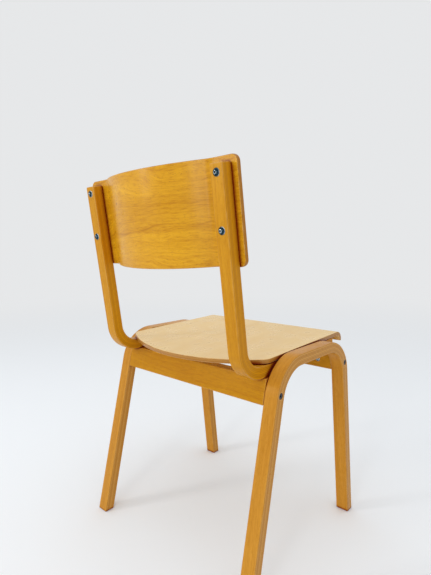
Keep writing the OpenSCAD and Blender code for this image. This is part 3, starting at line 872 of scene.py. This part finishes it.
def panel_figure(g, place, tone, deep):
    """The back's own figure: a dark wavy streak across its middle, finer ones over it and a small knot."""
    figure_z = -82.5 * MM
    parts = g.add("SeparateXYZ", {0: place}).outputs
    along = g.math("SUBTRACT", parts["X"], panel_board + panel_x)
    across = g.math("SUBTRACT", parts["Y"], panel_board + figure_z)
    wave = g.math("SUBTRACT", g.noise(place, (7.0, 2.0, 0.0), 2.0), 0.5)
    wave = g.math("MULTIPLY", wave, 35 * MM)
    slope = g.math("MULTIPLY", along, -0.06)
    height = g.math("SUBTRACT", g.math("SUBTRACT", across, slope), wave)
    streak_tone = (deep[0] * 0.72, deep[1] * 0.6, deep[2] * 0.5, 1)
    for level, width, strength in ((-18, 3.5, 0.75), (3, 1.6, 0.35), (12, 1.4, 0.3), (21, 1.6, 0.33),
                                   (-26, 1.4, 0.25), (34, 1.5, 0.22), (-48, 1.8, 0.2)):
        off = g.math("ABSOLUTE", g.math("SUBTRACT", height, level * MM))
        line = g.math("MULTIPLY", g.fit(off, 0.0, width * MM, 1.0, 0.0), strength)
        broken = g.fit(g.noise(place, (9.0, 60.0, 0.0), 2.0), 0.35, 0.6)
        tone = g.mix(g.math("MULTIPLY", line, broken), tone, streak_tone)
    flat = g.add("CombineXYZ", {"X": g.math("MULTIPLY", along, 0.5), "Y": across}).outputs[0]
    knot_place = (45 * MM, 38 * MM, 0.0)
    away = g.add("VectorMath", operation="DISTANCE", inputs={0: flat, 1: knot_place}).outputs["Value"]
    return g.mix(g.fit(away, 1 * MM, 3 * MM, 0.55, 0.0), tone, KNOT)


strip_beech = lacquered_beech("strip_beech", (0.72, 0.355, 0.045), (0.44, 0.170, 0.012), strip_t / 8,
                              waviness=0.15, line=0.8, edge=(0.64, 0.325, 0.070), thick=strip_t, layers=0.6,
                              shine=0.12)
upright_beech = lacquered_beech("upright_beech", (0.71, 0.355, 0.022), (0.44, 0.170, 0.006), upright_t / 8,
                                waviness=0.15, line=0.6, edge=(0.64, 0.275, 0.005), thick=upright_t,
                                layers=0.5, shine=0.1)
rail_beech = lacquered_beech("rail_beech", (0.60, 0.285, 0.008), (0.42, 0.160, 0.004), 1.0,
                             figure=1.1, waviness=0.35, line=0.0, shine=0.1)
seat_beech = lacquered_beech("seat_beech", (0.83, 0.585, 0.235), (0.66, 0.405, 0.115), seat_t / 6,
                             figure=0.6, waviness=0.6, cross=0.3, coat=0.15, shine=0.5, flecks=0.06,
                             edge=(0.36, 0.130, 0.008), thick=seat_t, relief=0.08)
panel_beech = lacquered_beech("panel_beech", (0.80, 0.425, 0.014), (0.48, 0.195, 0.004), panel_t / 6,
                              waviness=0.8, cross=0.3, coat=0.2, shine=0.22, flecks=0.7,
                              edge=(0.40, 0.150, 0.004), thick=panel_t, crown=panel_figure)
black_steel = metal("black_steel", (0.006, 0.008, 0.012), (0.20, 0.21, 0.22), 0.22, 0.5, coat=0.3)
# Its near-white edge colour over a wide reach paints highlights round the domed heads' rims and sockets.
blued_steel = metal("blued_steel", (0.006, 0.026, 0.042), (0.85, 0.95, 0.97), 0.12, 0.9, coat=0.1,
                    rub_and_highlight=1.0, reach=2.2 * MM)
zinc_steel = metal("zinc_steel", (0.42, 0.43, 0.42), (0.7, 0.7, 0.68), 0.3)
dowel_wood = lacquered_beech("dowel_wood", (0.72, 0.52, 0.28), (0.58, 0.38, 0.18), 1.0,
                             line=0.0, coat=0.0, gloss=0.6, on_object=True)

# ---- The chair ----

strip_right = side_frame_right()
upright_r = upright_right()
for right, left, name, finish, slot in (
        (strip_right, "side_frame_left_bent", "side_frame", strip_beech, "frame_beech"),
        (upright_r, "back_upright_left_bent", "back_upright", upright_beech, "upright_beech")):
    other = mirrored(right, left)
    other_board = Vector((1.7, 0.9, 0))
    for point in other.data.attributes["veneer"].data:
        point.vector = point.vector + other_board
    for piece, side in ((right, "_right"), (other, "_left")):
        smooth(piece)
        dress(piece, finish)
        stands_for(piece, name + side)

for name, finish, slot, piece in (
        ("rear_rail", rail_beech, "rail_beech",
         rail("rear_rail_bar", rest_y, rear_rake, -1, "rear_frame_bolt")),
        ("front_rail", rail_beech, "rail_beech",
         rail("front_rail_bar", front_rail_back, -front_rake, 1, "front_frame_bolt")),
        ("seat_shell", seat_beech, "seat_plywood", seat()),
        ("back_panel", panel_beech, "panel_plywood", back_panel())):
    dress(piece, finish)
    stands_for(piece, name)

out_of_back = on_back.to_3x3() @ Y
bolt, sleeve, cap_bolt, cross_nut = back_bolt(), sleeve_nut(), frame_bolt(), barrel_nut()
for side, sign in (("_right", -1), ("_left", 1)):
    for level, drop in back_bolt_drops.items():
        rear_face = on_back @ Vector((sign * upright_x, 0, -drop))
        front_face = on_back @ Vector((sign * upright_x, -upright_t - panel_t, -drop))
        fasten(bolt, level + "_back_bolt" + side, rear_face, out_of_back, blued_steel)
        fasten(sleeve, level + "_sleeve_nut" + side, front_face, -out_of_back, blued_steel)
    for end, rake, inner in (("rear", rear_rake, -1), ("front", -front_rake, 1)):
        axis = middle(end + "_frame_bolt" + side)
        sunk_head = Vector((sign * (out_x - (cap_sink - cap_h)), axis.y, axis.z))
        fasten(cap_bolt, end + "_frame_bolt" + side, sunk_head, sign * X, black_steel)
        way = Matrix.Rotation(rake, 3, "X") @ Vector((0, inner, 0))
        nut_face = Vector((sign * (in_x - nut_inset), axis.y, axis.z)) + way * rail_t / 2
        fasten(cross_nut, end + "_barrel_nut" + side, nut_face, way, blued_steel)
for model in (bolt, sleeve, cap_bolt, cross_nut):
    bpy.data.objects.remove(model)

for name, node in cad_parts.items():
    if "dowels" in name:
        dress(node, dowel_wood)
    elif "screw" in name:
        dress(node, zinc_steel)

# ---- Studio ----

world = bpy.data.worlds.new("studio")
bpy.context.scene.world = world
world.use_nodes = True
backdrop = (0.795, 0.805, 0.815)
world.node_tree.nodes["Background"].inputs["Color"].default_value = (*backdrop, 1)
world.node_tree.nodes["Background"].inputs["Strength"].default_value = 1.0


def floor():
    """A pale floor that fades into the backdrop far from the chair."""
    bpy.ops.object.select_all(action="DESELECT")
    bpy.ops.mesh.primitive_circle_add(vertices=96, radius=14, fill_type="NGON")
    piece = bpy.context.active_object
    piece.name = "studio_floor"
    material, g, shader = new_material("floor_paper")
    place = g.add("TexCoord").outputs["Object"]
    reach = g.add("VectorMath", operation="LENGTH", inputs={0: place}).outputs["Value"]
    far = g.fit(reach, 1.0, 5.0)
    shader.inputs["Base Color"].default_value = (0.88, 0.905, 0.93, 1)
    shader.inputs["Roughness"].default_value = 0.9
    glow = g.add("Emission", {"Color": (*backdrop, 1), "Strength": 1.0})
    both = g.add("MixShader", {0: far, 1: shader.outputs[0], 2: glow.outputs[0]})
    end = next(n for n in material.node_tree.nodes if n.type == "OUTPUT_MATERIAL")
    material.node_tree.links.new(both.outputs[0], end.inputs["Surface"])
    dress(piece, material)


def softbox(name, place, aim, width, height, power):
    """A rectangular area light that looks at a point."""
    lamp = bpy.data.lights.new(name, "AREA")
    lamp.shape = "RECTANGLE"
    lamp.size, lamp.size_y = width, height
    lamp.energy = power
    holder = bpy.data.objects.new(name, lamp)
    bpy.context.scene.collection.objects.link(holder)
    holder.location = place
    holder.rotation_euler = (Vector(aim) - Vector(place)).to_track_quat("-Z", "Y").to_euler()


floor()
softbox("overhead", (-0.3, 0.2, 2.6), (0, 0, 0.3), 2.4, 2.4, 9)
softbox("left_strip", (1.5, 2.2, 1.4), (0, 0, 0.6), 0.45, 1.6, 14)
softbox("right_strip", (-0.8, 2.7, 0.95), (0, 0, 0.6), 0.5, 1.3, 12)


def camera():
    """Stands behind the chair on its right, a little above the seat, and looks slightly down."""
    lens_px, long_side = 415.0, 575
    heading, tilt, roll = (math.radians(a) for a in (42.216, 5.305, -0.428))
    data = bpy.data.cameras.new("camera")
    data.sensor_width = 36
    data.lens = lens_px * data.sensor_width / long_side
    eye = bpy.data.objects.new("camera", data)
    bpy.context.scene.collection.objects.link(eye)
    ahead = Vector((math.sin(heading) * math.cos(tilt), -math.cos(heading) * math.cos(tilt), -math.sin(tilt)))
    side = ahead.cross(Z).normalized()
    up = side.cross(ahead)
    right = math.cos(roll) * side + math.sin(roll) * up
    above = math.cos(roll) * up - math.sin(roll) * side
    turn = Matrix((right, above, -ahead)).transposed()
    eye.matrix_world = Matrix.Translation((-0.6482, 0.7184, 0.6457)) @ turn.to_4x4()
    bpy.context.scene.camera = eye


camera()
bpy.context.scene.view_settings.view_transform = "Standard"
